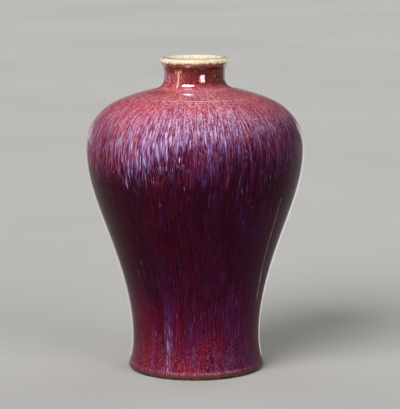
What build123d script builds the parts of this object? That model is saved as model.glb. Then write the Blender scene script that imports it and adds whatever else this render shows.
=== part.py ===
from build123d import *
from collections import namedtuple
from math import radians, sin, tan
import os

# A meiping vase: four thrown sections of clay, luted together with slip, under four coats of glaze.
# It stands on Z = 0 with its axis on Z. Lengths are in millimetres and angles in degrees.

# Foot ring, recess under it and floor
foot_radius = 74.4  # the foot's widest point, where the glaze stops
foot_rise = 3.6  # bare band under the glaze
foot_flare = 18.0  # how far the wall tips outward towards the foot
rest_inset = 1.9  # from the foot's widest point in to the resting face
rest_width = 6.0  # from there to the glaze inside the ring
rest_bevel = 1.4  # taken off the inner edge of the resting face
rest_rounding = 0.4
recess_height = 7.0
recess_cove = 3.5
recess_crown = 1.0
recess_bare = 1.8  # bare band inside the ring
floor_thickness = 10.0
floor_cove = 15.0
floor_crown = 1.2

# Body, as radii of the glazed outside and as rises from each point of the outline to the next
waist_radius = 69.9
waist_rise = 30.7
flank_radius = 95.2
flank_rise = 114.3
flank_tip = 19.7  # outward from upright
belly_radius = 118.7
belly_rise = 92.5
shoulder_radius = 87.5
shoulder_rise = 50.4
shoulder_pitch = 27.0  # up from level
root_rise = 14.3
root_pitch = 12.3
cove_rise = 5.0
cove_pitch = 53.0

# Neck and lip, as distances outward from the narrowest radius of the neck
neck_radius = 33.0
neck_rise = 10.1
root_spread = 10.8
cove_spread = 2.0
break_spread = 1.1
break_rise = 9.1  # up to where the red glaze gives way to the pale lip
break_tip = 24.5
lip_spread = 4.3
lip_rise = 6.4
crest_rise = 3.6
mouth_flare = 1.0  # how far the mouth is wider than the throat
mouth_rounding = 3.5  # from the wall of the mouth to the crest of the lip

# Wall thickness, from glaze to glaze
neck_wall = 5.5
shoulder_wall = 5.2
belly_wall = 5.6
flank_wall = 6.6
waist_wall = 9.0

# Glaze coats
body_coat = 0.9
foot_coat = 1.8  # the running glaze pools in a roll above the foot
lip_coat = 0.5  # and drains away from the lip
lining_coat = 0.5
base_coat = 0.5

# Luted joints
base_joint_rise = 8.0  # above the waist
belly_joint_rise = 38.0  # above the flank
joint_bevel = 15.0  # down from level, going outward
neck_joint_radius = 70.0
slip_thickness = 1.2

# A point of an outline, and the way that the outline runs there: 0 is outward, 90 is up
Knot = namedtuple("Knot", "radius height lean")


def place(knot):
    return Vector(knot.radius, knot.height)


def heading(lean, length):
    return Vector(length, 0).rotate(Axis.Z, lean)


def sunk(knot, depth):
    """The knot moved to the left of its outline, which is into the wall."""
    moved = place(knot) + heading(knot.lean + 90, depth)
    return Knot(moved.X, moved.Y, knot.lean)


def across(knot, wall):
    """The knot on the other face of the wall, where the outline runs back."""
    return sunk(knot, wall)._replace(lean=knot.lean + 180)


def reach(start, end):
    """Length of a curve's handles, as on the cubic that stands for an arc of this chord and turn."""
    turn = radians(abs(end.lean - start.lean))
    share = 2 * tan(turn / 4) / sin(turn / 2) / 3 if turn else 1 / 3
    return (place(end) - place(start)).length * share


def meridian(knots):
    """A smooth curve through the knots, drawn in the open BuildLine."""
    for start, end in zip(knots, knots[1:]):
        length = reach(start, end)
        leaving = place(start) + heading(start.lean, length)
        arriving = place(end) - heading(end.lean, length)
        Bezier(place(start), leaving, arriving, place(end))


# Heights that the rises add up to
waist_height = foot_rise + waist_rise
flank_height = waist_height + flank_rise
belly_height = flank_height + belly_rise
shoulder_height = belly_height + shoulder_rise
root_height = shoulder_height + root_rise
cove_height = root_height + cove_rise
neck_height = cove_height + neck_rise
break_height = neck_height + break_rise
lip_height = break_height + lip_rise
overall_height = lip_height + crest_rise
floor_height = recess_height + floor_thickness

# Radii that follow from others
rest_radius = foot_radius - rest_inset
recess_radius = rest_radius - rest_width
throat_radius = neck_radius - neck_wall
mouth_radius = throat_radius + mouth_flare

# Red coat, from the foot up to the break under the lip
foot = Knot(foot_radius, foot_rise, 90 + foot_flare)
waist = Knot(waist_radius, waist_height, 90)
flank = Knot(flank_radius, flank_height, 90 - flank_tip)
belly = Knot(belly_radius, belly_height, 90)
shoulder = Knot(shoulder_radius, shoulder_height, 180 - shoulder_pitch)
root = Knot(neck_radius + root_spread, root_height, 180 - root_pitch)
cove = Knot(neck_radius + cove_spread, cove_height, 180 - cove_pitch)
neck = Knot(neck_radius, neck_height, 90)
glaze_break = Knot(neck_radius + break_spread, break_height, 90 - break_tip)
flambe = [foot, waist, flank, belly, shoulder, root, cove, neck, glaze_break]
flambe_depths = [foot_coat] + [body_coat] * (len(flambe) - 2) + [lip_coat]

# Pale coat, over the rolled lip and down to the throat
lip_edge = Knot(neck_radius + lip_spread, lip_height, 90)
crest = Knot(mouth_radius + mouth_rounding, overall_height, 180)
mouth = Knot(mouth_radius, lip_height, 270)
throat = Knot(throat_radius, neck_height, 270)
lip = [glaze_break, lip_edge, crest, mouth, throat]
lip_depths = [lip_coat] * (len(lip) - 1) + [lining_coat]

# Lining, from the throat down to the middle of the floor
inner_waist = across(waist, waist_wall)
lining = [
    throat,
    across(cove, neck_wall),
    across(root, shoulder_wall),
    across(shoulder, shoulder_wall),
    across(belly, belly_wall),
    across(flank, flank_wall),
    inner_waist,
    Knot(inner_waist.radius - floor_cove, floor_height, 180),
    Knot(0, floor_height + floor_crown, 180),
]
lining_depths = [lining_coat] * len(lining)

# Coat under the base, from its middle out and down the inside of the foot ring
base = [
    Knot(0, recess_height + recess_crown, 0),
    Knot(recess_radius - recess_cove, recess_height, 0),
    Knot(recess_radius, recess_height - recess_cove, -90),
    Knot(recess_radius, recess_bare, -90),
]
base_depths = [base_coat] * len(base)


def bed(surface, depths):
    """The face of the clay under a coat."""
    return [sunk(knot, depth) for knot, depth in zip(surface, depths)]


flambe_bed = bed(flambe, flambe_depths)
lip_bed = bed(lip, lip_depths)
lining_bed = bed(lining, lining_depths)
base_bed = bed(base, base_depths)

# Joints between the sections of clay, each a line across the wall from the inside out.
# The neck's is square to the shoulder, at the fine ring that shows through the glaze there.
base_joint = Knot(waist_radius, waist_height + base_joint_rise, -joint_bevel)
belly_joint = Knot(flank_radius, flank_height + belly_joint_rise, -joint_bevel)
neck_joint = Knot(neck_joint_radius, root_height, 90 - (root_pitch + shoulder_pitch) / 2)


def clay():
    """Half section of all the clay, drawn in the open BuildLine."""
    meridian(flambe_bed)
    meridian(lip_bed)
    meridian(lining_bed)
    Line(place(lining_bed[-1]), place(base_bed[0]))
    meridian(base_bed)
    bevel_edge = (recess_radius + rest_bevel, 0)
    rest_edge = (rest_radius, 0)
    Polyline(place(base_bed[-1]), bevel_edge, rest_edge, place(flambe_bed[0]))


def keep_above(joint, gap):
    """Cuts the open sketch off along the joint, at a gap above it."""
    start = place(sunk(joint, gap))
    split(bisect_by=Plane(start, x_dir=heading(joint.lean, 1), z_dir=heading(joint.lean + 90, 1)))


def keep_below(joint, gap):
    """Cuts the open sketch off along the joint, at a gap below it."""
    keep_above(joint._replace(lean=joint.lean + 180), gap)


def coat(surface, clay_face):
    """Half section of a coat with square ends, drawn in the open BuildLine."""
    meridian(surface)
    meridian(clay_face)
    Line(place(surface[0]), place(clay_face[0]))
    Line(place(surface[-1]), place(clay_face[-1]))


half_slip = slip_thickness / 2

# Foot ring, floor and the lowest wall
with BuildPart() as base_section:
    with BuildSketch(Plane.XZ):
        with BuildLine():
            clay()
        make_face()
        keep_below(base_joint, half_slip)
    revolve(axis=Axis.Z)
    fillet(base_section.edges().group_by(Axis.Z)[0], rest_rounding)
base_section.part.label = "base_section"

# Flaring wall up to the belly
with BuildPart() as lower_section:
    with BuildSketch(Plane.XZ):
        with BuildLine():
            clay()
        make_face()
        keep_above(base_joint, half_slip)
        keep_below(belly_joint, half_slip)
    revolve(axis=Axis.Z)
lower_section.part.label = "lower_section"

# Belly and shoulder
with BuildPart() as shoulder_section:
    with BuildSketch(Plane.XZ):
        with BuildLine():
            clay()
        make_face()
        keep_above(belly_joint, half_slip)
        keep_below(neck_joint, half_slip)
    revolve(axis=Axis.Z)
shoulder_section.part.label = "shoulder_section"

# Top of the shoulder, neck and lip
with BuildPart() as neck_section:
    with BuildSketch(Plane.XZ):
        with BuildLine():
            clay()
        make_face()
        keep_above(neck_joint, half_slip)
    revolve(axis=Axis.Z)
neck_section.part.label = "neck_section"

# Slip in the joints
with BuildPart() as base_luting:
    with BuildSketch(Plane.XZ):
        with BuildLine():
            clay()
        make_face()
        keep_above(base_joint, -half_slip)
        keep_below(base_joint, -half_slip)
    revolve(axis=Axis.Z)
base_luting.part.label = "base_luting"

with BuildPart() as belly_luting:
    with BuildSketch(Plane.XZ):
        with BuildLine():
            clay()
        make_face()
        keep_above(belly_joint, -half_slip)
        keep_below(belly_joint, -half_slip)
    revolve(axis=Axis.Z)
belly_luting.part.label = "belly_luting"

with BuildPart() as neck_luting:
    with BuildSketch(Plane.XZ):
        with BuildLine():
            clay()
        make_face()
        keep_above(neck_joint, -half_slip)
        keep_below(neck_joint, -half_slip)
    revolve(axis=Axis.Z)
neck_luting.part.label = "neck_luting"

# Red and blue streaked glaze, with its lower end a round bead
with BuildPart() as flambe_glaze:
    with BuildSketch(Plane.XZ):
        with BuildLine():
            coat(flambe, flambe_bed)
        make_face()
        with Locations((place(flambe[0]) + place(flambe_bed[0])) / 2):
            Circle(foot_coat / 2)
    revolve(axis=Axis.Z)
flambe_glaze.part.label = "flambe_glaze"

# Pale glaze of the lip
with BuildPart() as lip_glaze:
    with BuildSketch(Plane.XZ):
        with BuildLine():
            coat(lip, lip_bed)
        make_face()
    revolve(axis=Axis.Z)
lip_glaze.part.label = "lip_glaze"

# Glaze of the inside
with BuildPart() as interior_glaze:
    with BuildSketch(Plane.XZ):
        with BuildLine():
            coat(lining, lining_bed)
        make_face()
    revolve(axis=Axis.Z)
interior_glaze.part.label = "interior_glaze"

# Glaze under the base
with BuildPart() as base_glaze:
    with BuildSketch(Plane.XZ):
        with BuildLine():
            coat(base, base_bed)
        make_face()
    revolve(axis=Axis.Z)
base_glaze.part.label = "base_glaze"

os.makedirs("parts", exist_ok=True)
export_step(base_section.part, "parts/base_section.step")
export_step(lower_section.part, "parts/lower_section.step")
export_step(shoulder_section.part, "parts/shoulder_section.step")
export_step(neck_section.part, "parts/neck_section.step")
export_step(base_luting.part, "parts/base_luting.step")
export_step(belly_luting.part, "parts/belly_luting.step")
export_step(neck_luting.part, "parts/neck_luting.step")
export_step(flambe_glaze.part, "parts/flambe_glaze.step")
export_step(lip_glaze.part, "parts/lip_glaze.step")
export_step(interior_glaze.part, "parts/interior_glaze.step")
export_step(base_glaze.part, "parts/base_glaze.step")
print("height", round(overall_height, 2), "greatest width", 2 * belly_radius)
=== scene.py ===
"""Looks of a meiping vase in streaked red and blue glaze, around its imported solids. Lengths are in metres."""

import math
from collections import namedtuple

import bmesh
import bpy
import numpy as np
from mathutils import Matrix, Vector


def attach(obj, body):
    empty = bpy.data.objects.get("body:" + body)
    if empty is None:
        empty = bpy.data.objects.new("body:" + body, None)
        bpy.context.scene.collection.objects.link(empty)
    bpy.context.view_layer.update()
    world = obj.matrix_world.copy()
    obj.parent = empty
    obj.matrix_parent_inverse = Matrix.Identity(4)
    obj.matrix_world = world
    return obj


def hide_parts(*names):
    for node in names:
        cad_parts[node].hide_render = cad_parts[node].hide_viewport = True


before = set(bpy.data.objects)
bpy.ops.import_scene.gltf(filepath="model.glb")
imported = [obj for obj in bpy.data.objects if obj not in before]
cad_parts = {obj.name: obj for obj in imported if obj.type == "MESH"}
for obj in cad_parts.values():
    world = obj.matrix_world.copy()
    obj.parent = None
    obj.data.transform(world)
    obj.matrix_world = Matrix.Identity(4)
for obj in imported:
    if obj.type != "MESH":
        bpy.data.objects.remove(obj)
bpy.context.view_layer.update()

# The photograph's frame, and the camera that its silhouette was fitted with
PHOTO_WIDTH = 400
PHOTO_HEIGHT = 409
FOCAL_PIXELS = 1896
AXIS_PIXEL = 195.2  # column of the vase's axis at mid height
CAMERA_DISTANCE = 2.040
CAMERA_HEIGHT = 0.4977
CAMERA_PITCH = 8.88
CAMERA_ROLL = 0.31
SENSOR = 36.0  # millimetres, along the long side

# Sizes of the glazed outside, as in the solids
FOOT_RADIUS = 0.0744
FOOT_HEIGHT = 0.0036
FOOT_FLARE = 18.0
WAIST_RADIUS = 0.0699
WAIST_HEIGHT = 0.0343
FLANK_RADIUS = 0.0952
FLANK_HEIGHT = 0.1486
FLANK_TIP = 19.7
BELLY_RADIUS = 0.1187
BELLY_HEIGHT = 0.2411
SHOULDER_RADIUS = 0.0875
SHOULDER_HEIGHT = 0.2915
SHOULDER_PITCH = 27.0
ROOT_RADIUS = 0.0438
ROOT_HEIGHT = 0.3058
ROOT_PITCH = 12.3
COVE_RADIUS = 0.0350
COVE_HEIGHT = 0.3108
COVE_PITCH = 53.0
NECK_RADIUS = 0.0330
NECK_HEIGHT = 0.3209
BREAK_RADIUS = 0.0341
BREAK_HEIGHT = 0.3300
BREAK_TIP = 24.5
LIP_RADIUS = 0.0373
LIP_HEIGHT = 0.3364
CREST_RADIUS = 0.0320
CREST_HEIGHT = 0.3400
MOUTH_RADIUS = 0.0285
THROAT_RADIUS = 0.0275

# Wall and coats
NECK_WALL = 0.0055
SHOULDER_WALL = 0.0052
BELLY_WALL = 0.0056
FLANK_WALL = 0.0066
WAIST_WALL = 0.0090
BODY_COAT = 0.0009
FOOT_COAT = 0.0018
LIP_COAT = 0.0005
LINING_COAT = 0.0005
BASE_COAT = 0.0005

# Foot and floor
REST_RADIUS = 0.0725
RECESS_RADIUS = 0.0665
REST_BEVEL = 0.0014
REST_ROUNDING = 0.0004
RECESS_HEIGHT = 0.0070
RECESS_COVE = 0.0035
RECESS_CROWN = 0.0010
RECESS_BARE = 0.0018
FLOOR_HEIGHT = 0.0170
FLOOR_COVE = 0.0150
FLOOR_CROWN = 0.0012
JOINT_RISE = 0.0080  # of the base section's top, above the waist
JOINT_BEVEL = 15.0
HALF_SLIP = 0.0006

# Relief of the skins. It only sinks, so they never leave the solids.
SKIN_DEPTH = 0.00014
SWELL_DEPTH = 0.00010
RUN_DEPTH = 0.00004
RING_RADIUS = 0.070
RING_WIDTH = 0.0009
RING_HEIGHT = 0.00012
RING_SPAN = 2  # how many of its widths the ring's rows reach, to both sides
LIP_SWELL = 0.00012
THROWING_PITCH = 0.0068
THROWING_DEPTH = 0.00016
GRIT_DEPTH = 0.00016
GRAIN_SHARE = 0.6  # of the grit, that is fine grain
CHIP_AZIMUTH = -7.0
CHIP_WIDTH = 0.0021
CHIP_RISE = 0.0026  # from the glaze down to the middle of the chip
CHIP_HEIGHT = 0.0014
CHIP_DEPTH = 0.0009

# How far from the ends of each skin its relief fades, so that it meets the next piece
BODY_MARGIN = 0.008
LIP_MARGIN = 0.003
LINING_MARGIN = 0.012
BASE_MARGIN = 0.003
BARE_MARGIN = 0.0006

# Meshes
BODY_SEGMENTS = 360
FOOT_SEGMENTS = 480
SEGMENTS = 240
ROW_STEP = 0.0012
BED_STEP = 0.0025
FINE_STEP = 0.0004
BEAD_ROWS = 12
RING_ROWS = 13
STRETCH_POINTS = 600
MERGE = 1e-7
SHARP = 40  # degrees between faces from which their edge is drawn sharp

# Map that the colours are baked to: half a turn to a strip, with the skin over nearly all of its height
STRIPS = 2
SKIN_SHARE = 0.97
STRIP_SHARE = 0.995

SEED = 7
PATTERN_RADIUS = 0.1  # of the circle that carries the glaze's pattern round the vase
MILLIMETRES = 1000  # in a metre

# Surroundings
FLOOR_SIDE = 14.0  # half the floor's width
SUN_ANGLE = 40.0
SUN_DISTANCE = 3.0
NECK_PANEL_DISTANCE = 1.5
WORLD_HEIGHTS = (-0.02, 0.30)  # sines of the elevations between which the world's light falls off
WORLD_STRENGTHS = (0.40, 0.08)

Knot = namedtuple("Knot", "radius height lean")
Rows = namedtuple("Rows", "points outward course")
Noise = namedtuple("Noise", "size along shift detail roughness", defaults=(0.0, 2.0, 0.5))


def srgb(red, green, blue):
    """A colour given in bytes, as the linear numbers that a shader takes."""
    channels = [value / 255 for value in (red, green, blue)]
    linear = [c / 12.92 if c <= 0.04045 else ((c + 0.055) / 1.055) ** 2.4 for c in channels]
    return (*linear, 1.0)


def linked(thing):
    bpy.context.scene.collection.objects.link(thing)
    return thing


# Camera

camera_data = bpy.data.cameras.new("camera")
camera_data.sensor_width = SENSOR
camera_data.lens = SENSOR * FOCAL_PIXELS / max(PHOTO_WIDTH, PHOTO_HEIGHT)
camera = linked(bpy.data.objects.new("camera", camera_data))
camera_yaw = math.atan((PHOTO_WIDTH / 2 - AXIS_PIXEL) / FOCAL_PIXELS)
camera.matrix_world = (
    Matrix.Translation((0, -CAMERA_DISTANCE, CAMERA_HEIGHT))
    @ Matrix.Rotation(-camera_yaw, 4, "Z")
    @ Matrix.Rotation(math.radians(90 - CAMERA_PITCH), 4, "X")
    @ Matrix.Rotation(-math.radians(CAMERA_ROLL), 4, "Z")
)
bpy.context.scene.camera = camera


# Outline, as in the solids: cubic curves through knots, each with the way that the outline runs there


def heading(lean, length):
    return np.array((math.cos(math.radians(lean)), math.sin(math.radians(lean)))) * length


def place(knot):
    return np.array((knot.radius, knot.height))


def sunk(knot, depth):
    """The knot moved to the left of its outline, which is into the wall."""
    moved = place(knot) + heading(knot.lean + 90, depth)
    return Knot(moved[0], moved[1], knot.lean)


def across(knot, wall):
    """The knot on the other face of the wall, where the outline runs back."""
    return sunk(knot, wall)._replace(lean=knot.lean + 180)


def bed(surface, depths):
    """The face of the clay under a coat."""
    return [sunk(knot, depth) for knot, depth in zip(surface, depths)]


def stretch(start, end):
    """Points of the curve from one knot to the next."""
    chord = np.linalg.norm(place(end) - place(start))
    turn = math.radians(abs(end.lean - start.lean))
    share = 2 * math.tan(turn / 4) / math.sin(turn / 2) / 3 if turn else 1 / 3
    corners = np.array(
        (
            place(start),
            place(start) + heading(start.lean, chord * share),
            place(end) - heading(end.lean, chord * share),
            place(end),
        )
    )
    t = np.linspace(0, 1, STRETCH_POINTS)[:, None]
    return np.hstack(((1 - t) ** 3, 3 * t * (1 - t) ** 2, 3 * t * t * (1 - t), t**3)) @ corners


def meridian(knots):
    """Points along the smooth curve through the knots."""
    stretches = [stretch(start, end) for start, end in zip(knots, knots[1:])]
    return np.concatenate([stretches[0]] + [points[1:] for points in stretches[1:]])


def lengths(points):
    """How far along the line each point is."""
    return np.concatenate(([0], np.cumsum(np.linalg.norm(np.diff(points, axis=0), axis=1))))


def evenly(start, end, step):
    return np.linspace(start, end, max(2, math.ceil(abs(end - start) / step) + 1))


def rows(line, along, course=None, outside=1):
    """Rows at lengths along a line. Its outside is on the right, or on the left where outside is -1."""
    reach = lengths(line)
    tangent = np.gradient(line, reach, axis=0)
    tangent /= np.linalg.norm(tangent, axis=1)[:, None]
    picked = np.stack([np.interp(along, reach, part) for part in (line[:, 0], line[:, 1])], axis=1)
    outward = np.stack([np.interp(along, reach, part) for part in (tangent[:, 1], -tangent[:, 0])], axis=1)
    return Rows(picked, outward * outside, np.asarray(along if course is None else course, float))


def whole(line, step, **settings):
    return rows(line, evenly(0, lengths(line)[-1], step), **settings)


def joined(*parts):
    return Rows(*(np.concatenate(pieces) for pieces in zip(*parts)))


foot = Knot(FOOT_RADIUS, FOOT_HEIGHT, 90 + FOOT_FLARE)
waist = Knot(WAIST_RADIUS, WAIST_HEIGHT, 90)
flank = Knot(FLANK_RADIUS, FLANK_HEIGHT, 90 - FLANK_TIP)
belly = Knot(BELLY_RADIUS, BELLY_HEIGHT, 90)
shoulder = Knot(SHOULDER_RADIUS, SHOULDER_HEIGHT, 180 - SHOULDER_PITCH)
root = Knot(ROOT_RADIUS, ROOT_HEIGHT, 180 - ROOT_PITCH)
cove = Knot(COVE_RADIUS, COVE_HEIGHT, 180 - COVE_PITCH)
neck = Knot(NECK_RADIUS, NECK_HEIGHT, 90)
glaze_break = Knot(BREAK_RADIUS, BREAK_HEIGHT, 90 - BREAK_TIP)
flambe = [foot, waist, flank, belly, shoulder, root, cove, neck, glaze_break]
flambe_bed = bed(flambe, [FOOT_COAT] + [BODY_COAT] * (len(flambe) - 2) + [LIP_COAT])

lip_edge = Knot(LIP_RADIUS, LIP_HEIGHT, 90)
crest = Knot(CREST_RADIUS, CREST_HEIGHT, 180)
mouth = Knot(MOUTH_RADIUS, LIP_HEIGHT, 270)
throat = Knot(THROAT_RADIUS, NECK_HEIGHT, 270)
lip = [glaze_break, lip_edge, crest, mouth, throat]
lip_bed = bed(lip, [LIP_COAT] * (len(lip) - 1) + [LINING_COAT])

inner_waist = across(waist, WAIST_WALL)
lining = [
    throat,
    across(cove, NECK_WALL),
    across(root, SHOULDER_WALL),
    across(shoulder, SHOULDER_WALL),
    across(belly, BELLY_WALL),
    across(flank, FLANK_WALL),
    inner_waist,
    Knot(inner_waist.radius - FLOOR_COVE, FLOOR_HEIGHT, 180),
    Knot(0, FLOOR_HEIGHT + FLOOR_CROWN, 180),
]
lining_bed = bed(lining, [LINING_COAT] * len(lining))

base = [
    Knot(0, RECESS_HEIGHT + RECESS_CROWN, 0),
    Knot(RECESS_RADIUS - RECESS_COVE, RECESS_HEIGHT, 0),
    Knot(RECESS_RADIUS, RECESS_HEIGHT - RECESS_COVE, -90),
    Knot(RECESS_RADIUS, RECESS_BARE, -90),
]
base_bed = bed(base, [BASE_COAT] * len(base))


# Meshes of revolution


def swells(count, turns, wavelength):
    """Smooth random swells over a piece, from 0 to 1, as a function of the angle and the course."""
    around = rng.integers(turns[0], turns[1] + 1, count)
    along = rng.uniform(-1, 1, count) * 2 * math.pi / wavelength
    phases = rng.uniform(0, 2 * math.pi, count)

    def level(angle, course):
        waves = sum(np.cos(a * angle + b * course + c) for a, b, c in zip(around, along, phases))
        return np.clip(0.5 + waves / math.sqrt(count) / 3, 0, 1)

    return level


def eased(value, low, high):
    """0 below low, 1 above high and smooth between them."""
    t = np.clip((value - low) / (high - low), 0, 1)
    return t * t * (3 - 2 * t)


def away_from(course, start, end, margin):
    """1 along a skin, and 0 at its two ends, where it meets the next piece."""
    return eased(course, start, start + margin) * (1 - eased(course, end - margin, end))


def lathe(name, skin, rest, segments, depth):
    """A closed piece of revolution: the skin, sunk by its relief, and the rows that close its section."""
    section = joined(skin, rest)
    row_count, skin_count = len(section.points), len(skin.points)
    angles = np.arange(segments) * 2 * math.pi / segments
    sink = np.zeros((row_count, segments))
    sink[:skin_count] = depth(angles[None, :], skin.course[:, None])
    points, outward = section.points[:, :, None], section.outward[:, :, None]
    radius, height = (points[:, axis] - outward[:, axis] * sink for axis in (0, 1))
    turned = np.stack((np.cos(angles), np.sin(angles)), axis=1)
    vertices = np.stack((radius * turned[:, 0], radius * turned[:, 1], height), axis=2)
    course = np.empty((row_count, segments, 3))
    course[:, :, :2] = turned * PATTERN_RADIUS
    course[:, :, 2] = section.course[:, None]

    row, column = np.divmod(np.arange(row_count * segments), segments)
    next_row, next_column = (row + 1) % row_count, (column + 1) % segments
    corners = [(row, column), (row, next_column), (next_row, next_column), (next_row, column)]
    faces = np.stack([r * segments + c for r, c in corners], axis=1)

    skin_heights = (skin.course - skin.course[0]) / (skin.course[-1] - skin.course[0]) * SKIN_SHARE
    rest_heights = np.linspace(SKIN_SHARE, STRIP_SHARE, row_count - skin_count + 2)[1:]
    heights = np.concatenate((skin_heights, rest_heights))
    strip, place_in_strip = np.divmod(column, segments // STRIPS)
    left, right = ((place_in_strip + side) / (segments // STRIPS) for side in (0, 1))
    top, bottom = ((strip + heights[row + side]) / STRIPS for side in (0, 1))
    uv = np.stack((left, top, right, top, right, bottom, left, bottom), axis=1)

    mesh = bpy.data.meshes.new(name)
    mesh.from_pydata(vertices.reshape(-1, 3).tolist(), [], faces.tolist())
    mesh.uv_layers.new(name="OFBake").data.foreach_set("uv", uv.astype(np.float32).ravel())
    attribute = mesh.attributes.new("course", "FLOAT_VECTOR", "POINT")
    attribute.data.foreach_set("vector", course.astype(np.float32).ravel())
    work = bmesh.new()
    work.from_mesh(mesh)
    bmesh.ops.remove_doubles(work, verts=work.verts, dist=MERGE)
    loose = [edge for edge in work.edges if not edge.link_faces]
    bmesh.ops.delete(work, geom=loose, context="EDGES")
    bmesh.ops.recalc_face_normals(work, faces=work.faces)
    for edge in work.edges:
        edge.smooth = edge.calc_face_angle(0) < math.radians(SHARP)
    work.to_mesh(mesh)
    work.free()
    mesh.shade_smooth()
    return linked(bpy.data.objects.new(name, mesh))


# Streaked glaze. Its course runs down from the break under the lip and round the roll at the foot.
flambe_line = meridian(flambe)[::-1]
FLOW_LENGTH = lengths(flambe_line)[-1]
flambe_bed_line = meridian(flambe_bed)
shoulder_top = flambe_line[flambe_line[:, 1] > SHOULDER_HEIGHT]
RING_FLOW = lengths(shoulder_top)[np.argmin(np.abs(shoulder_top[:, 0] - RING_RADIUS))]


def body_rows(first, last):
    """The coat from one place down the runs to another, with the roll at the foot where it goes that far."""
    ring = RING_FLOW + RING_WIDTH * np.linspace(-RING_SPAN, RING_SPAN, RING_ROWS)
    flows = np.unique(np.concatenate((evenly(first, last, ROW_STEP), ring)))
    skin = rows(flambe_line, flows[(flows >= first) & (flows <= last)], outside=-1)
    if last == FLOW_LENGTH:
        start, end = place(flambe[0]), place(flambe_bed[0])
        centre, radius = (start + end) / 2, FOOT_COAT / 2
        turns = np.linspace(0, math.pi, BEAD_ROWS)[1:]
        first_turn = math.atan2(*(start - centre)[::-1])
        facing = np.stack((np.cos(first_turn - turns), np.sin(first_turn - turns)), axis=1)
        skin = joined(skin, Rows(centre + facing * radius, facing, FLOW_LENGTH + turns * radius))
    bed_length = lengths(flambe_bed_line)[-1]
    low, high = (bed_length * (1 - flow / FLOW_LENGTH) for flow in (last, first))
    back = evenly(low, high, BED_STEP)
    if last == FLOW_LENGTH:
        back = back[1:]
    return skin, rows(flambe_bed_line, back, FLOW_LENGTH * (1 - back / bed_length))


def body_depth(angle, course):
    away = away_from(course, 0, FLOW_LENGTH, BODY_MARGIN)
    ring = np.exp(-(((course - RING_FLOW) / RING_WIDTH * 2) ** 2)) * ring_swells(angle, 0)
    relief = SWELL_DEPTH * broad_swells(angle, course) + RUN_DEPTH * run_swells(angle, course)
    return SKIN_DEPTH + away * relief - RING_HEIGHT * ring


# Pale glaze of the lip. Its course goes on up from the break, so it is negative.
lip_line = meridian(lip)
LIP_LENGTH = lengths(lip_line)[-1]


def lip_rows():
    along = evenly(0, LIP_LENGTH, FINE_STEP)
    bed_line = meridian(lip_bed)[::-1]
    return rows(lip_line, along, -along), whole(bed_line, ROW_STEP)


def lip_depth(angle, course):
    away = away_from(-course, 0, LIP_LENGTH, LIP_MARGIN)
    return SKIN_DEPTH + LIP_SWELL * away * lip_swells(angle, course)


# Lining, with the spiral ridges of throwing
lining_line = meridian(lining)
LINING_LENGTH = lengths(lining_line)[-1]


def lining_rows():
    return whole(lining_line, ROW_STEP), whole(meridian(lining_bed)[::-1], BED_STEP)


def lining_depth(angle, course):
    ridges = 0.5 + 0.5 * np.cos(2 * math.pi * course / THROWING_PITCH + angle)
    away = away_from(course, 0, LINING_LENGTH, LINING_MARGIN)
    return SKIN_DEPTH + THROWING_DEPTH * away * ridges * lining_swells(angle, course)


# Glaze under the base
base_line = meridian(base)
BASE_LENGTH = lengths(base_line)[-1]


def base_rows():
    return whole(base_line, ROW_STEP), whole(meridian(base_bed)[::-1], ROW_STEP)


def base_depth(angle, course):
    return SKIN_DEPTH * away_from(course, 0, BASE_LENGTH, BASE_MARGIN) * base_swells(angle, course)


# Foot ring, floor and lowest wall. The bare band is gritty, with a chip at the front.


def rounded(corners, radius):
    """Knots of a line through the corners, with those between its ends rounded."""
    sides = [after - before for before, after in zip(corners, corners[1:])]
    leans = [math.degrees(math.atan2(*side[::-1])) for side in sides]
    knots = [Knot(*corners[0], leans[0])]
    for corner, before, after in zip(corners[1:], leans, leans[1:]):
        cut = radius * math.tan(math.radians(after - before) / 2)
        knots.append(Knot(*(corner - heading(before, cut)), before))
        knots.append(Knot(*(corner + heading(after, cut)), after))
    return knots + [Knot(*corners[-1], leans[-1])]


bare_corners = [
    place(base_bed[-1]),
    np.array((RECESS_RADIUS + REST_BEVEL, 0)),
    np.array((REST_RADIUS, 0)),
    place(flambe_bed[0]),
]
bare_line = meridian(rounded(bare_corners, REST_ROUNDING))
BARE_LENGTH = lengths(bare_line)[-1]
joint_point = place(sunk(Knot(WAIST_RADIUS, WAIST_HEIGHT + JOINT_RISE, -JOINT_BEVEL), -HALF_SLIP))


def below_joint(line):
    """The part of a line that lies under the joint with the next section of clay."""
    return line[(line - joint_point) @ heading(90 - JOINT_BEVEL, 1) < 0]


def foot_rows():
    outer, inner = (whole(below_joint(meridian(face)), BED_STEP) for face in (flambe_bed, lining_bed))
    recess = whole(meridian(base_bed), BED_STEP)
    wall = Rows(*(part[1:] for part in joined(outer, inner)))
    return whole(bare_line, FINE_STEP), joined(wall, Rows(*(part[:-1] for part in recess)))


def foot_depth(angle, course):
    away = away_from(course, 0, BARE_LENGTH, BARE_MARGIN)
    grain, lumps = grain_swells(angle, course), foot_swells(angle, course)
    grit = GRAIN_SHARE * grain + (1 - GRAIN_SHARE) * lumps
    turn = (angle - math.radians(CHIP_AZIMUTH - 90) + math.pi) % (2 * math.pi) - math.pi
    across_chip = turn * REST_RADIUS / CHIP_WIDTH
    along_chip = (course - (BARE_LENGTH - CHIP_RISE)) / CHIP_HEIGHT
    return away * (GRIT_DEPTH * grit + CHIP_DEPTH * np.exp(-(across_chip**4) - along_chip**4))


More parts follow.
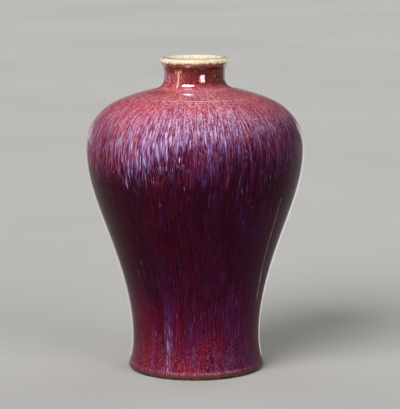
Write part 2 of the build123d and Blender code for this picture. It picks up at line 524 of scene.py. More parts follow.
rng = np.random.default_rng(SEED)
broad_swells = swells(24, turns=(2, 9), wavelength=0.07)
run_swells = swells(60, turns=(40, 120), wavelength=0.30)
ring_swells = swells(8, turns=(1, 7), wavelength=1)
lip_swells = swells(30, turns=(3, 26), wavelength=0.02)
lining_swells = swells(12, turns=(1, 4), wavelength=0.06)
base_swells = swells(20, turns=(1, 9), wavelength=0.025)
grain_swells = swells(60, turns=(60, 230), wavelength=0.0012)
foot_swells = swells(40, turns=(8, 40), wavelength=0.006)

# The coat of the body is in two pieces, which meet at the ring over the joint of the neck.
glaze_neck = lathe("glaze_neck", *body_rows(0, RING_FLOW), BODY_SEGMENTS, body_depth)
glaze_body = lathe("glaze_body", *body_rows(RING_FLOW, FLOW_LENGTH), BODY_SEGMENTS, body_depth)
glaze_lip = lathe("glaze_lip", *lip_rows(), SEGMENTS, lip_depth)
glaze_inside = lathe("glaze_inside", *lining_rows(), SEGMENTS, lining_depth)
glaze_base = lathe("glaze_base", *base_rows(), SEGMENTS, base_depth)
foot_clay = lathe("foot_clay", *foot_rows(), FOOT_SEGMENTS, foot_depth)


# Materials


class Shader:
    """A material's nodes, one short call each. A value is a number, a colour or another node's output."""

    def __init__(self, name):
        self.material = bpy.data.materials.new(name)
        self.material.use_nodes = True
        self.tree = self.material.node_tree
        self.surface = self.tree.nodes["Principled BSDF"]

    def feed(self, socket, value):
        if isinstance(value, bpy.types.NodeSocket):
            self.tree.links.new(value, socket)
        else:
            socket.default_value = value

    def node(self, kind, output=0, inputs=None, **settings):
        made = self.tree.nodes.new("ShaderNode" + kind)
        for key, value in settings.items():
            setattr(made, key, value)
        for key, value in (inputs or {}).items():
            self.feed(made.inputs[key], value)
        return made.outputs[output]

    def math(self, operation, *values):
        return self.node("Math", inputs=dict(enumerate(values)), operation=operation)

    def all_of(self, operation, values):
        """The operation on the first two values, on that and the third, and so on."""
        total = values[0]
        for value in values[1:]:
            total = self.math(operation, total, value)
        return total

    def product(self, *values):
        return self.all_of("MULTIPLY", values)

    def plus(self, *values):
        return self.all_of("ADD", values)

    def highest(self, *values):
        return self.all_of("MAXIMUM", values)

    def minus(self, first, second):
        return self.math("SUBTRACT", first, second)

    def absolute(self, value):
        return self.math("ABSOLUTE", value)

    def swing(self, level, span):
        """A level from 0 to 1 as a push to both sides of 0, over the span."""
        return self.product(self.minus(level, 0.5), span)

    def multiply_add(self, vector, factors, addend):
        return self.node("VectorMath", inputs={0: vector, 1: factors, 2: addend}, operation="MULTIPLY_ADD")

    def ease(self, value, low, high, least=0.0, most=1.0):
        """Smooth from least where the value is low to most where it is high."""
        inputs = {"Value": value, "From Min": low, "From Max": high, "To Min": least, "To Max": most}
        return self.node("MapRange", inputs=inputs, interpolation_type="SMOOTHSTEP")

    def over(self, below, above, *cover):
        """The colour below, with the one above laid over it by the product of the covers."""
        return self.node("Mix", 2, {0: self.product(*cover), 6: below, 7: above}, data_type="RGBA")

    def drawn(self, vector, along, shift=0.0):
        """The vector with its last part shortened, so that what it carries is drawn out along the runs."""
        return self.multiply_add(vector, (1, 1, 1 / along), (shift, shift, shift))

    def noise(self, vector, size, along=1.0, shift=0.0, detail=2.0, roughness=0.5, output=0):
        """Noise of that size, drawn out along the runs."""
        inputs = {"Vector": self.drawn(vector, along, shift), "Scale": 1 / size}
        return self.node("TexNoise", output, {**inputs, "Detail": detail, "Roughness": roughness})

    def cells(self, vector, size):
        return self.node("TexVoronoi", "Distance", {"Vector": vector, "Scale": 1 / size})

    def crazed(self, vector, size, line):
        """The net of fine cracks in a glaze, 1 in the cracks."""
        bent = self.multiply_add(self.noise(vector, size, output=1), (size / 2,) * 3, vector)
        inputs = {"Vector": bent, "Scale": 1 / size}
        return self.ease(self.node("TexVoronoi", 0, inputs, feature="DISTANCE_TO_EDGE"), line, line * 0.3)

    def ramp(self, value, stops):
        """A colour or level that follows a value. A stop is a value, then a level or red, green and blue."""
        low, high = stops[0][0], stops[-1][0]
        made = self.tree.nodes.new("ShaderNodeValToRGB")
        elements = made.color_ramp.elements
        for index, (at, *shade) in enumerate(stops):
            element = elements[index] if index < 2 else elements.new(1.0)
            element.position = (at - low) / (high - low)
            element.color = srgb(*shade) if len(shade) == 3 else (*shade * 3, 1)
        span = {"Value": value, "From Min": low, "From Max": high}
        self.feed(made.inputs[0], self.node("MapRange", inputs=span))
        return made.outputs[0]

    def bump(self, height, distance):
        inputs = {"Height": height, "Distance": distance}
        self.feed(self.surface.inputs["Normal"], self.node("Bump", inputs=inputs))

    def finish(self, colour, roughness, specular, **sockets):
        """Sets what the surface shows. Sockets other than colour and roughness take plain numbers."""
        self.feed(self.surface.inputs["Base Color"], colour)
        self.feed(self.surface.inputs["Roughness"], roughness)
        self.surface.inputs["Specular IOR Level"].default_value = specular
        for key, value in sockets.items():
            self.surface.inputs[key.replace("_", " ")].default_value = value
        return self.material


def course_of(shader):
    """The course vector, and how many millimetres down the runs it is."""
    course = shader.node("Attribute", "Vector", attribute_name="course")
    return course, shader.product(shader.node("SeparateXYZ", "Z", {0: course}), MILLIMETRES)


def turn_of(shader, course):
    """The sine of the azimuth from the front, and that azimuth in degrees."""
    x, y = (shader.node("SeparateXYZ", axis, {0: course}) for axis in "XY")
    azimuth = shader.math("DEGREES", shader.math("ARCTAN2", x, shader.product(y, -1.0)))
    return shader.math("DIVIDE", x, PATTERN_RADIUS), azimuth


# Colours of the streaked glaze. A stop is a place down the runs in millimetres, then the colour in bytes.
GROUND = [
    (0, 70, 24, 22), (4, 84, 11, 19), (15, 98, 9, 18), (20, 132, 36, 46), (27, 164, 66, 80),
    (40, 170, 68, 80), (72, 168, 60, 70), (92, 154, 50, 72), (108, 108, 28, 54), (124, 66, 14, 36),
    (142, 42, 7, 23), (190, 34, 4, 15), (240, 37, 5, 18), (295, 48, 7, 23), (340, 70, 6, 28),
    (368, 86, 8, 36), (383, 92, 18, 42),
]
WARM = [
    (0, 110, 50, 34), (18, 124, 30, 34), (40, 206, 88, 76), (95, 194, 70, 68), (132, 118, 20, 32),
    (170, 56, 6, 14), (280, 58, 4, 14), (345, 106, 10, 26), (383, 130, 26, 40),
]
COOL = [
    (0, 84, 16, 34), (16, 100, 24, 46), (24, 158, 80, 122), (32, 176, 98, 140), (95, 150, 88, 140),
    (135, 84, 40, 88), (165, 40, 13, 38), (260, 40, 12, 38), (330, 68, 22, 70), (383, 98, 50, 100),
]
MILK = [
    (0, 150, 84, 66), (18, 170, 82, 94), (35, 202, 116, 130), (75, 182, 76, 98), (115, 164, 86, 130),
    (145, 104, 46, 88), (170, 56, 14, 44), (240, 50, 10, 36), (300, 64, 14, 44), (345, 84, 16, 52),
    (380, 108, 32, 66),
]
LAVENDER = [
    (0, 196, 132, 100), (30, 216, 140, 154), (70, 196, 98, 132), (105, 174, 126, 180), (145, 132, 94, 156),
    (168, 72, 24, 60), (250, 64, 18, 52), (320, 82, 26, 66), (383, 138, 66, 96),
]
BLUE = [
    (0, 140, 80, 80), (50, 176, 124, 170), (100, 132, 118, 174), (150, 86, 74, 134), (190, 58, 26, 62),
    (320, 70, 36, 82), (383, 110, 80, 140),
]
PALE = [
    (0, 214, 160, 120), (40, 236, 172, 172), (75, 226, 160, 176), (95, 224, 176, 204), (130, 190, 176, 220),
    (170, 180, 150, 196), (220, 120, 84, 120), (383, 216, 156, 172),
]
DEEP = [
    (0, 70, 18, 24), (50, 150, 52, 64), (100, 112, 28, 54), (150, 42, 6, 22), (300, 28, 2, 11),
    (383, 70, 12, 30),
]
OCHRE = srgb(228, 176, 146)

# How much of the streaked glaze something covers. A stop is a place down the runs, then the share.
BAND_SHARE = [
    (0, 0.1), (17, 0.15), (30, 0.40), (60, 0.50), (90, 0.54), (112, 0.42), (132, 0.28), (160, 0.34),
    (300, 0.42), (383, 0.48),
]
HAIR_SHARE = [
    (0, 0.1), (17, 0.18), (40, 0.42), (85, 0.50), (105, 0.42), (125, 0.28), (170, 0.28), (320, 0.34),
    (345, 0.30), (383, 0.12),
]
BLUE_SHARE = [
    (0, 0.0), (55, 0.08), (85, 0.24), (115, 0.35), (132, 0.28), (146, 0.0), (170, 0.16), (250, 0.18),
    (330, 0.22), (383, 0.1),
]
STROKE_SHARE = [
    (0, 0.05), (45, 0.20), (70, 0.32), (90, 0.42), (110, 0.40), (125, 0.26), (138, 0.0), (383, 0.0),
]
GAP_SHARE = [
    (0, 0.2), (60, 0.24), (85, 0.38), (110, 0.48), (140, 0.5), (160, 0.2), (330, 0.2), (365, 0.0), (383, 0.0),
]
LOOP_SHARE = [(0, 0.0), (75, 0.05), (95, 0.3), (135, 0.42), (152, 0.1), (165, 0.0), (383, 0.0)]
FINE_SHARE = [(0, 0.0), (25, 0.1), (50, 0.26), (90, 0.28), (125, 0.16), (145, 0.0), (383, 0.0)]
GLINT_SHARE = [(0, 0.0), (50, 0.20), (78, 0.30), (110, 0.32), (124, 0.20), (140, 0.0), (383, 0.0)]
SPECK_SHARE = [
    (0, 0.2), (30, 0.3), (60, 0.55), (110, 0.3), (145, 0.03), (300, 0.03), (340, 0.2), (370, 0.35),
    (383, 0.3),
]
MOTTLE_SHARE = [
    (0, 0.1), (17, 0.15), (25, 0.65), (60, 0.85), (95, 0.45), (125, 0.0), (335, 0.0), (362, 0.08),
    (383, 0.14),
]
LEFT_RED_SHARE = [(0, 0.0), (85, 0.0), (105, 0.40), (140, 0.6), (165, 0.0), (383, 0.0)]
# How much painted shade darkens the right side, at each place down the runs
RIGHT_PAINTED_SHADE_SHARE = [
    (0, 0.35), (16, 0.4), (25, 0.1), (60, 0.12), (110, 0.45), (150, 0.5), (180, 0.3), (300, 0.35), (383, 0.6),
]
RUN_SPREAD = [(0, 0.03), (25, 0.10), (60, 0.4), (100, 0.9), (170, 0.9), (260, 0.5), (383, 0.2)]
RUN_REACH = 110.0  # millimetres between the shortest and the longest run, where the spread is 1
RUN_LEAN_WITH_PAINTED_LIGHT = 27.0  # millimetres by which the runs end higher at the right flank, and lower at the left one: partly the glaze's own runs, partly painted light that keeps the lit left paler further down
RUN_BULGE = 19.0  # millimetres by which they end lower to the left of the front
PATCH_FRAY = 2.6  # how ragged the edge of a patch is, in its half widths
STROKE_SPAN = 0.6  # of the noise's level, between strokes that cover nothing and everything
RING_KINK = 5.0  # millimetres by which the pale ring is higher at its kink
ROLL_FRAY = 3.5  # millimetres over which the edge of the roll at the foot wanders up and down

# Patches: azimuth and half width in degrees, then millimetres down the runs and half length
WARM_PATCHES = [(-42, 17, 82, 30), (-50, 7, 146, 18), (36, 10, 52, 16), (28, 5, 112, 10), (-45, 14, 345, 48)]
COOL_PATCHES = [
    (6, 24, 38, 15), (30, 7, 312, 34), (52, 12, 372, 14), (20, 7, 120, 14), (-26, 8, 25, 7), (14, 14, 25, 7),
]
CORAL_PATCHES = [(-32, 9, 72, 13), (-2, 6, 76, 9), (-46, 6, 104, 12), (20, 5, 62, 8)]

# Patterns of the streaked glaze, as Shader.noise takes them
TONE = Noise(0.030, 2.2, 3.0, 3, 0.6)
OTHER_TONE = Noise(0.022, 2.5, 8.0, 3, 0.6)
RAGGED = Noise(0.005, 5, 1.0, 3, 0.6)
SWAY = Noise(0.014, 2.5, 0.0, 1)
SWAY_REACH = (0.003, 0.003, 0.0)
RUNS = Noise(0.0030, 26, 0.0, 3, 0.8)
BANDS = Noise(0.0030, 14, 2.0, 3, 0.55)
HAIRS = Noise(0.0011, 30, 4.0, 2, 0.55)
DARK_HAIRS = Noise(0.0012, 22, 5.0, 2, 0.55)
BLUE_STROKES = Noise(0.0018, 9, 7.0, 2, 0.55)
STROKES = Noise(0.0016, 13, 6.0, 2, 0.55)
GAPS = Noise(0.0019, 9, 9.0, 2, 0.55)
LOOPS = Noise(0.0028, 6.5, 14.0, 1.5)
FINE_HAIRS = Noise(0.0010, 36, 31.0, 1, 0.55)
SIDE_GAPS = Noise(0.0012, 30, 33.0, 2, 0.55)
GLINTS = Noise(0.0012, 12, 12.0, 1, 0.55)
SPECK_GROUPS = Noise(0.007, 3, 6.0)
MOTTLE = Noise(0.0016, 1.8, 17.0, 1.5, 0.6)
RING_WEAR = Noise(0.022, 0.2, 2.0)
BEADS = Noise(0.0014, 2.2, 21.0, 2, 0.6)
CRUMBS = Noise(0.0016, 6, 15.0, 3, 0.7)
FINE_GRAIN = Noise(0.0019, 9, 2.0, 3, 0.6)


def flambe_material(name, ior, tint):
    """Streaked red and blue glaze. Places down the runs are in millimetres, and azimuths in degrees."""
    shader = Shader(name)
    noise, ease, ramp, over, swing = shader.noise, shader.ease, shader.ramp, shader.over, shader.swing
    product, plus, minus, highest = shader.product, shader.plus, shader.minus, shader.highest
    course, flow = course_of(shader)
    sine, azimuth = turn_of(shader, course)
    ragged = noise(course, *RAGGED)

    def near(middle, far, close, least=0.0, most=1.0):
        """Most within a close angle of an azimuth, and least beyond a far one."""
        return ease(shader.absolute(minus(azimuth, middle)), far, close, least, most)

    def patch(middle, width, height, depth):
        """A ragged patch round an azimuth and a place down the runs."""
        aside = shader.math("DIVIDE", minus(azimuth, middle), width)
        along = shader.math("DIVIDE", minus(flow, height), depth)
        distance = shader.math("SQRT", plus(product(aside, aside), product(along, along)))
        return ease(plus(distance, swing(ragged, PATCH_FRAY)), 1.2, 0.4)

    def patches(spots):
        return [patch(*spot) for spot in spots]

    # Wandering runs: each narrow band round the vase has run down by a length of its own
    swayed = shader.multiply_add(noise(course, *SWAY, output=1), SWAY_REACH, course)
    spread = product(swing(noise(swayed, *RUNS), RUN_REACH), ramp(flow, RUN_SPREAD))
    # The runs end lower on the left and higher on the right: partly the glaze's own runs, partly painted light
    # from the left
    lean = product(sine, RUN_LEAN_WITH_PAINTED_LIGHT, ease(flow, 50, 130), ease(flow, 340, 220))
    bulge = product(near(-28, 26, 0), ease(flow, 90, 130), -RUN_BULGE)
    front = plus(flow, spread, lean, bulge)

    # Ground, with broad patches in which a warm or a cool colour comes up
    comb = product(near(8, 40, 18), ease(flow, 72, 88), ease(flow, 142, 120))
    warm_tone = ease(plus(noise(course, *TONE), product(sine, -0.07)), 0.47, 0.66)
    cool_tone = ease(plus(noise(course, *OTHER_TONE), product(sine, 0.07)), 0.50, 0.68)
    warmth = highest(product(warm_tone, minus(1.0, comb)), *patches(WARM_PATCHES))
    coolness = highest(cool_tone, *patches(COOL_PATCHES))
    colour = over(ramp(front, GROUND), ramp(flow, WARM), warmth, 0.75)
    colour = over(colour, ramp(flow, COOL), coolness, 0.70)
    # Painted shade: a dark patch low on the left flank, to take back the light of the floor that the glaze
    # mirrors there
    colour = over(colour, srgb(46, 1, 9), patch(-52, 18, 215, 66), 0.8)
    # A purple patch low at the front, near the foot
    colour = over(colour, srgb(62, 4, 34), patch(4, 13, 366, 14), 0.4)

    def strands(pattern, share, softness):
        """Strokes along the runs, which cover nothing at a share of 0 and everything at 1."""
        level = plus(noise(swayed, *pattern), swing(share, STROKE_SPAN))
        return ease(level, 0.5 - softness / 2, 0.5 + softness / 2)

    # Broad soft bands, then long hairs
    milk, lavender, blue, pale, deep = (ramp(flow, stops) for stops in (MILK, LAVENDER, BLUE, PALE, DEEP))
    colour = over(colour, milk, strands(BANDS, ramp(front, BAND_SHARE), 0.3), 0.6)
    colour = over(colour, lavender, strands(HAIRS, ramp(front, HAIR_SHARE), 0.14), 0.7)
    colour = over(colour, deep, strands(DARK_HAIRS, 0.40, 0.16), ease(flow, 383, 330, 0.2, 0.6))

    # Strokes where the milk has gathered, blue and lavender, with the ground between them
    share = plus(ramp(front, BLUE_SHARE), product(coolness, 0.16), product(comb, 0.12), product(warmth, -0.2))
    colour = over(colour, blue, strands(BLUE_STROKES, share, 0.16), 0.8)
    left_loss = product(ease(sine, -0.3, -0.7), -0.08)
    share = plus(ramp(front, STROKE_SHARE), product(comb, 0.07), left_loss, -0.03)
    colour = over(colour, lavender, strands(STROKES, share, 0.14), 0.8)
    share = plus(ramp(front, GAP_SHARE), product(comb, 0.06))
    colour = over(colour, deep, strands(GAPS, share, 0.10), 0.88)

    # Looping threads where the runs end
    off_loop = shader.absolute(minus(noise(swayed, *LOOPS), 0.5))
    colour = over(colour, lavender, ease(off_loop, 0.045, 0.01), ramp(front, LOOP_SHARE))

    # Fine pale hairs, more and with dark gaps between them on both sides, and bright glints of the milk
    sides = ease(shader.absolute(sine), 0.3, 0.7)
    share = plus(ramp(front, FINE_SHARE), product(sides, ease(front, 30, 60), ease(front, 140, 110), 0.08))
    colour = over(colour, pale, strands(FINE_HAIRS, share, 0.10), 0.6)
    gaps = strands(SIDE_GAPS, 0.30, 0.12)
    colour = over(colour, deep, gaps, sides, ease(flow, 30, 60), ease(flow, 140, 110), 0.7)
    middle = near(8, 75, 20, 0.85, 1.0)
    share = plus(product(ramp(front, GLINT_SHARE), middle), product(comb, 0.04))
    colour = over(colour, pale, strands(GLINTS, share, 0.10), 0.9)

    # Coral patches that show through the hairs
    colour = over(colour, srgb(206, 80, 74), highest(*patches(CORAL_PATCHES)), 0.4)

    # Fine specks, pale on the shoulder and pink near the foot
    speck = ease(shader.cells(shader.drawn(course, 1.8, 5.0), size=0.0021), 0.32, 0.10)
    scattered = ease(noise(course, *SPECK_GROUPS), 0.46, 0.60)
    colour = over(colour, pale, speck, scattered, ramp(flow, SPECK_SHARE))

    # Fine mottle over the top of the shoulder, pink on red
    mottle, share = noise(course, *MOTTLE), ramp(flow, MOTTLE_SHARE)
    colour = over(colour, pale, ease(mottle, 0.52, 0.62), share, middle)
    colour = over(colour, deep, ease(mottle, 0.46, 0.36), share, middle)

    # Redder on both flanks, then painted shade on the right side and a painted shadow under the lip
    colour = over(colour, srgb(104, 14, 30), product(ease(sine, -0.35, -0.95), ramp(flow, LEFT_RED_SHARE)))
    upper = product(ease(shader.absolute(sine), 0.3, 0.8), ease(flow, 24, 34), ease(flow, 112, 80))
    colour = over(colour, srgb(176, 30, 36), upper, ease(sine, -1, 1, 0.2, 0.3))
    colour = over(colour, srgb(140, 26, 44), patch(-48, 26, 36, 9), 0.4)
    # Painted shade: the right side of the neck and body darker, away from the light
    colour = over(colour, srgb(42, 2, 22), ease(sine, 0.0, 0.9), ramp(flow, RIGHT_PAINTED_SHADE_SHARE))
    # Painted shadow: darker just under the lip, to the right of the front
    colour = over(colour, srgb(50, 1, 6), ease(azimuth, -12, 14), ease(flow, 22, 4, 0.0, 0.5))

    # The fine pale ring over the joint of the neck, with a kink to the left of the middle
    kink = product(near(-13.5, 3.5, 0.5), -RING_KINK)
    off_ring = shader.absolute(minus(flow, plus(kink, RING_FLOW * MILLIMETRES)))
    kept = highest(product(ease(noise(course, *RING_WEAR), 0.38, 0.56), 0.5), near(0, 30, 14))
    colour = over(colour, srgb(244, 186, 180), product(ease(off_ring, 1.0, 0.3), kept), 0.95)

    # Beads under the lip: pink and dark on the left, olive on the right
    beads = noise(course, *BEADS)
    left = product(near(-46, 32, 14), ease(flow, 4, 9), ease(flow, 24, 14))
    right = product(near(47, 24, 10), ease(flow, 1, 4), ease(flow, 19, 12))
    colour = over(colour, srgb(224, 132, 150), ease(beads, 0.52, 0.58), left, 0.85)
    colour = over(colour, srgb(84, 10, 24), ease(beads, 0.49, 0.43), left, 0.8)
    colour = over(colour, srgb(140, 104, 62), ease(beads, 0.53, 0.62), right, 0.6)

    def trickle(middle, width, start, end, shift):
        """A wandering run near an azimuth, from one place down the runs to another."""
        wander = swing(noise(course, 0.010, shift=shift), width * 1.5)
        aside = shader.absolute(minus(minus(azimuth, middle), wander))
        ends = product(ease(flow, start, start + 3), ease(flow, end, end - 6))
        return product(ease(aside, width, width * 0.2), ends)

    # Runs of their own: ochre ones from under the lip, then red and coral ones down the shoulder on the left
    colour = over(colour, OCHRE, trickle(-32, 2.4, 2, 25, 11.0), ease(beads, 0.34, 0.46, 0.5, 1.0), 0.85)
    for drip in ((-37, 2.0, 1, 10, 13.0), (-27, 2.6, 1, 9, 17.0)):
        colour = over(colour, OCHRE, trickle(*drip), ease(beads, 0.40, 0.52), 0.8)
    crumbs = noise(swayed, *CRUMBS)
    crumbled = ease(crumbs, 0.42, 0.60)
    fading = ease(flow, 168, 130, 0.0, 0.5)
    colour = over(colour, srgb(112, 14, 30), trickle(-50, 4.0, 104, 168, 27.0), crumbled, fading)
    colour = over(colour, srgb(214, 108, 114), trickle(-33, 1.4, 92, 140, 29.0), crumbled, 0.45)
    colour = over(colour, srgb(136, 20, 34), trickle(-30, 1.2, 84, 108, 31.0), ease(crumbs, 0.42, 0.58), 0.5)

    # A lavender one down to the foot, with a pale thread in it
    lower = product(trickle(-25, 5.0, 300, 390, 19.0), ease(crumbs, 0.46, 0.66), ease(flow, 300, 345))
    colour = over(colour, srgb(158, 112, 172), lower, 0.6)
    crumbled = ease(crumbs, 0.42, 0.56)
    colour = over(colour, srgb(206, 164, 202), trickle(-25.5, 1.0, 344, 382, 23.0), crumbled, 0.6)

    # The roll at the foot: a pale bead, and thin brown glaze under it
    end = plus(flow, swing(ragged, ROLL_FRAY))
    bead = product(ease(end, 377, 379), ease(end, 381.5, 380), crumbled)
    colour = over(colour, srgb(196, 136, 146), bead, near(8, 50, 15, 0.12, 0.4))
    colour = over(colour, srgb(78, 56, 46), ease(end, 380, 382.5), 0.8)

    fine = noise(swayed, *FINE_GRAIN)
    roughness = product(ease(fine, 0.3, 0.7, 0.035, 0.06), ease(flow, 20, 60, 0.35, 1.0))
    shader.bump(fine, distance=0.00003)
    return shader.finish(colour, roughness, specular=0.5, IOR=ior, Specular_Tint=tint)


# The ragged lower edge of the lip's glaze: millimetres up from the break, then red, green and blue in bytes
LIP_EDGE = [
    (0.0, 82, 24, 26), (1.4, 102, 46, 38), (2.8, 132, 92, 74), (3.8, 84, 56, 40), (4.8, 130, 102, 74),
    (5.8, 190, 166, 128), (7.0, 232, 214, 180),
]
CREST_RISE = 12.9  # millimetres from the break up to the crest
# The glaze under the base: level of its noise, then red, green and blue in bytes
BASE_CLOUD = [(0.3, 60, 44, 28), (0.45, 92, 68, 40), (0.58, 118, 92, 56), (0.7, 84, 74, 46)]


def lip_material():
    """Ivory glaze, thin and brown over the crest, and ragged and brown where it meets the red."""
    shader = Shader("lip_glaze")
    noise, ease, over, product = shader.noise, shader.ease, shader.over, shader.product
    course, flow = course_of(shader)
    rise = product(flow, -1.0)
    cloud = noise(course, 0.011, detail=4, roughness=0.6)
    streaks = noise(course, 0.0016, along=5, shift=1.0, detail=3, roughness=0.6)
    colour = over(srgb(246, 235, 210), srgb(228, 212, 176), ease(cloud, 0.35, 0.68))
    colour = over(colour, srgb(204, 182, 140), ease(streaks, 0.52, 0.70, 0, 0.45))
    colour = over(colour, srgb(226, 218, 188), ease(rise, 21, 30), 0.6)

    # The lower edge, with brown dots above it
    broad = noise(course, 0.013, shift=5.0)
    ragged = noise(course, 0.0026, along=1.6, shift=2.0, detail=4, roughness=0.7)
    edge = shader.plus(rise, shader.swing(ragged, 6.5), shader.swing(broad, 5.0))
    colour = over(colour, shader.ramp(edge, LIP_EDGE), ease(edge, 7.0, 6.2))
    dots = ease(shader.cells(shader.drawn(course, 1.0, 7.0), size=0.0019), 0.42, 0.28)
    dotted = product(dots, ease(broad, 0.36, 0.5), ease(rise, 9.0, 5.5), ease(rise, 1.0, 2.5))
    colour = over(colour, srgb(70, 52, 32), dotted, 0.9)

    # The crest, where the glaze has worn thin
    off_crest = shader.absolute(shader.minus(rise, shader.plus(CREST_RISE, shader.swing(broad, 1.6))))
    gaps = noise(course, 0.0032, along=0.3, shift=9.0, detail=3, roughness=0.7)
    colour = over(colour, srgb(94, 60, 38), ease(off_crest, 1.1, 0.5), ease(gaps, 0.40, 0.47), 0.95)

    shader.bump(cloud, distance=0.0001)
    return shader.finish(colour, ease(streaks, 0.3, 0.7, 0.10, 0.18), specular=0.4)


def interior_material():
    """Pale grey celadon, which has run down between the ridges of throwing."""
    shader = Shader("interior_glaze")
    course, _ = course_of(shader)
    cloud = shader.noise(course, 0.024, detail=4, roughness=0.6)
    streaks = shader.noise(course, 0.003, along=9, shift=3.0, detail=3, roughness=0.6)
    colour = shader.over(srgb(206, 202, 180), srgb(184, 182, 156), shader.ease(cloud, 0.35, 0.65))
    colour = shader.over(colour, srgb(166, 166, 138), shader.ease(streaks, 0.5, 0.7, 0, 0.4))
    colour = shader.over(colour, srgb(120, 104, 80), shader.crazed(course, 0.009, 0.05), 0.35)
    shader.bump(streaks, distance=0.00006)
    return shader.finish(colour, shader.ease(cloud, 0.3, 0.7, 0.12, 0.2), specular=0.45)


def base_material():
    """Thin olive brown glaze, mottled and crazed, with paler clay through it at the edge."""
    shader = Shader("base_glaze")
    _, flow = course_of(shader)
    where = shader.node("TexCoord", "Object")
    cloud = shader.noise(where, 0.016, detail=5, roughness=0.65)
    fine = shader.noise(where, 0.0022, detail=4, roughness=0.7)
    colour = shader.ramp(cloud, BASE_CLOUD)
    colour = shader.over(colour, srgb(44, 32, 22), shader.ease(fine, 0.56, 0.68, 0, 0.6))
    colour = shader.over(colour, srgb(150, 124, 84), shader.ease(fine, 0.42, 0.32, 0, 0.5))
    colour = shader.over(colour, srgb(34, 24, 16), shader.crazed(where, 0.007, 0.06), 0.5)
    edge = BASE_LENGTH * MILLIMETRES
    thin = shader.ease(shader.plus(flow, shader.swing(cloud, 12)), edge - 4, edge)
    colour = shader.over(colour, srgb(128, 98, 68), thin, 0.7)
    shader.bump(fine, distance=0.00008)
    return shader.finish(colour, shader.ease(fine, 0.3, 0.7, 0.18, 0.4), specular=0.45)


def clay_material(name, light, dark, grain):
    """Fired clay: clouded, with grains of another colour and a gritty skin."""
    shader = Shader(name)
    where = shader.node("TexCoord", "Object")
    cloud = shader.noise(where, 0.010, detail=5, roughness=0.65)
    grit = shader.noise(where, 0.0008, detail=3, roughness=0.7)
    grains = shader.ease(shader.cells(where, size=0.0017), 0.30, 0.18)
    sparse = shader.ease(shader.noise(where, 0.004), 0.48, 0.60)
    colour = shader.over(light, dark, shader.ease(cloud, 0.32, 0.68))
    colour = shader.over(colour, dark, shader.ease(grit, 0.55, 0.7, 0, 0.5))
    colour = shader.over(colour, grain, grains, sparse, 0.7)
    shader.bump(grit, distance=0.00015)
    return shader.finish(colour, shader.ease(grit, 0.3, 0.7, 0.7, 0.92), specular=0.3)


def floor_material():
    shader = Shader("floor")
    cloud = shader.noise(shader.node("TexCoord", "Object"), 0.9, detail=3)
    colour = shader.over(srgb(192, 190, 186), srgb(197, 195, 191), shader.ease(cloud, 0.3, 0.7))
    return shader.finish(colour, roughness=0.9, specular=0.0)


def dress(piece, material, node=None):
    """Gives a piece its only material, and its place in the frame if it stands for a node."""
    piece.data.materials.clear()
    piece.data.materials.append(material)
    if node:
        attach(piece, "root")
        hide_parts(node)


# The index of refraction and the tint of the mirrored light keep the flanks as dark as in a dark room
neck_flambe = flambe_material("flambe_neck", 1.3, srgb(255, 218, 230))
body_flambe = flambe_material("flambe_body", 1.17, srgb(255, 176, 202))
iron_wash = clay_material("foot_clay", srgb(96, 68, 46), srgb(52, 34, 24), srgb(150, 118, 84))
stoneware = clay_material("body_clay", srgb(210, 202, 188), srgb(186, 174, 154), srgb(140, 112, 84))
slip = clay_material("luting_slip", srgb(200, 188, 170), srgb(176, 160, 138), srgb(132, 104, 78))
dress(glaze_neck, neck_flambe, "flambe_glaze")
dress(glaze_body, body_flambe, "flambe_glaze")
dress(glaze_lip, lip_material(), "lip_glaze")
dress(glaze_inside, interior_material(), "interior_glaze")
dress(glaze_base, base_material(), "base_glaze")
dress(foot_clay, iron_wash, "base_section")
for node_names, material in (
    (("lower_section", "shoulder_section", "neck_section"), stoneware),
    (("base_luting", "belly_luting", "neck_luting"), slip),
):
    for node_name in node_names:
        for material_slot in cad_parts[node_name].material_slots:
            material_slot.material = material


# Floor, lights and world

floor_corners = [(x * FLOOR_SIDE, y * FLOOR_SIDE, 0) for x, y in ((-1, -1), (1, -1), (1, 1), (-1, 1))]
floor_mesh = bpy.data.meshes.new("floor")
floor_mesh.from_pydata(floor_corners, [], [(0, 1, 2, 3)])
floor = linked(bpy.data.objects.new("floor", floor_mesh))
dress(floor, floor_material())


def away(azimuth, elevation):
    """A direction. Azimuth 0 is the camera's side, and 90 the right."""
    turn, rise = math.radians(azimuth), math.radians(elevation)
    return Vector((math.sin(turn) * math.cos(rise), -math.cos(turn) * math.cos(rise), math.sin(rise)))


def lamp(name, kind, location, direction, energy):
    """A light at a place, which shines against a direction."""
    data = bpy.data.lights.new(name, kind)
    data.energy = energy
    light = linked(bpy.data.objects.new(name, data))
    light.location = location
    light.rotation_euler = direction.to_track_quat("Z", "Y").to_euler()
    light.visible_camera = False
    return light


def sunlight(name, azimuth, elevation, strength):
    """Soft even light, which the glaze doesn't mirror."""
    direction = away(azimuth, elevation)
    light = lamp(name, "SUN", direction * SUN_DISTANCE, direction, strength)
    light.data.angle = math.radians(SUN_ANGLE)
    light.visible_glossy = False


def strip(name, location, azimuth, elevation, size, radiance):
    """A bright panel that only shows where the glaze mirrors it."""
    light = lamp(name, "AREA", location, away(azimuth, elevation), radiance * math.pi * size[0] * size[1])
    light.data.shape = "RECTANGLE"
    light.data.size, light.data.size_y = size
    light.visible_diffuse = False
    return light


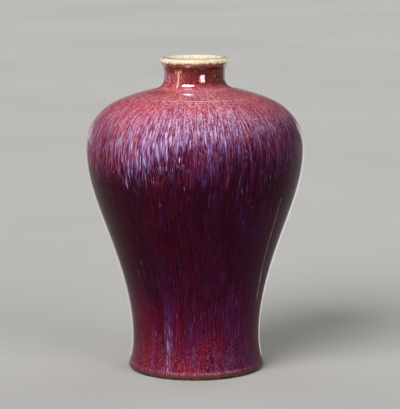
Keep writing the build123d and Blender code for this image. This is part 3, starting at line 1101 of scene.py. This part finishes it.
def neck_panel(name, azimuth, elevation, size, radiance):
    """A panel that only the neck mirrors."""
    location = Vector((0, 0, BREAK_HEIGHT)) + away(azimuth, elevation) * NECK_PANEL_DISTANCE
    light = strip(name, location, azimuth, elevation, size, radiance)
    light.light_linking.receiver_collection = bpy.data.collections.new(name)
    light.light_linking.receiver_collection.objects.link(glaze_neck)


sunlight("key", -35, 35, 2.9)
sunlight("fill", 45, 20, 1.2)
sunlight("behind_left", -140, 35, 0.5)
sunlight("behind_right", 140, 35, 0.5)

# Strips that lean away behind the flanks, in the lines of sight that the glaze mirrors along the outline
strip("left_strip", (-0.199, 0.300, 0.16), -146, -60, size=(0.10, 0.636), radiance=0.6)
strip("left_top", (-0.400, 0.418, 0.28), -146, -60, size=(0.16, 0.16), radiance=0.75)
strip("right_strip", (0.199, 0.300, 0.16), 146, -60, size=(0.10, 0.636), radiance=0.95)
strip("right_line", (0.220, 0.047, 0.063), 94, -69, size=(0.005, 0.15), radiance=3.0)

# The highlights of the neck
neck_panel("neck_key", -31, 49, size=(0.80, 0.48), radiance=1500.0)
neck_panel("neck_fill", 28, 4, size=(0.44, 0.50), radiance=75.0)

# The world is as bright as the mirrored floor at the horizon, so that no edge shows there in the glaze
world = bpy.data.worlds.new("world")
bpy.context.scene.world = world
world.use_nodes = True
nodes, links = world.node_tree.nodes, world.node_tree.links
direction = nodes.new("ShaderNodeTexCoord")
height = nodes.new("ShaderNodeSeparateXYZ")
falloff = nodes.new("ShaderNodeMapRange")
falloff.interpolation_type = "SMOOTHSTEP"
for end, height_at_end, strength in zip(("Min", "Max"), WORLD_HEIGHTS, WORLD_STRENGTHS):
    falloff.inputs["From " + end].default_value = height_at_end
    falloff.inputs["To " + end].default_value = strength
links.new(direction.outputs["Generated"], height.inputs[0])
links.new(height.outputs["Z"], falloff.inputs["Value"])
links.new(falloff.outputs[0], nodes["Background"].inputs["Strength"])
nodes["Background"].inputs["Color"].default_value = (1, 1, 1, 1)

bpy.context.scene.view_settings.view_transform = "Standard"

bpy.context.view_layer.update()
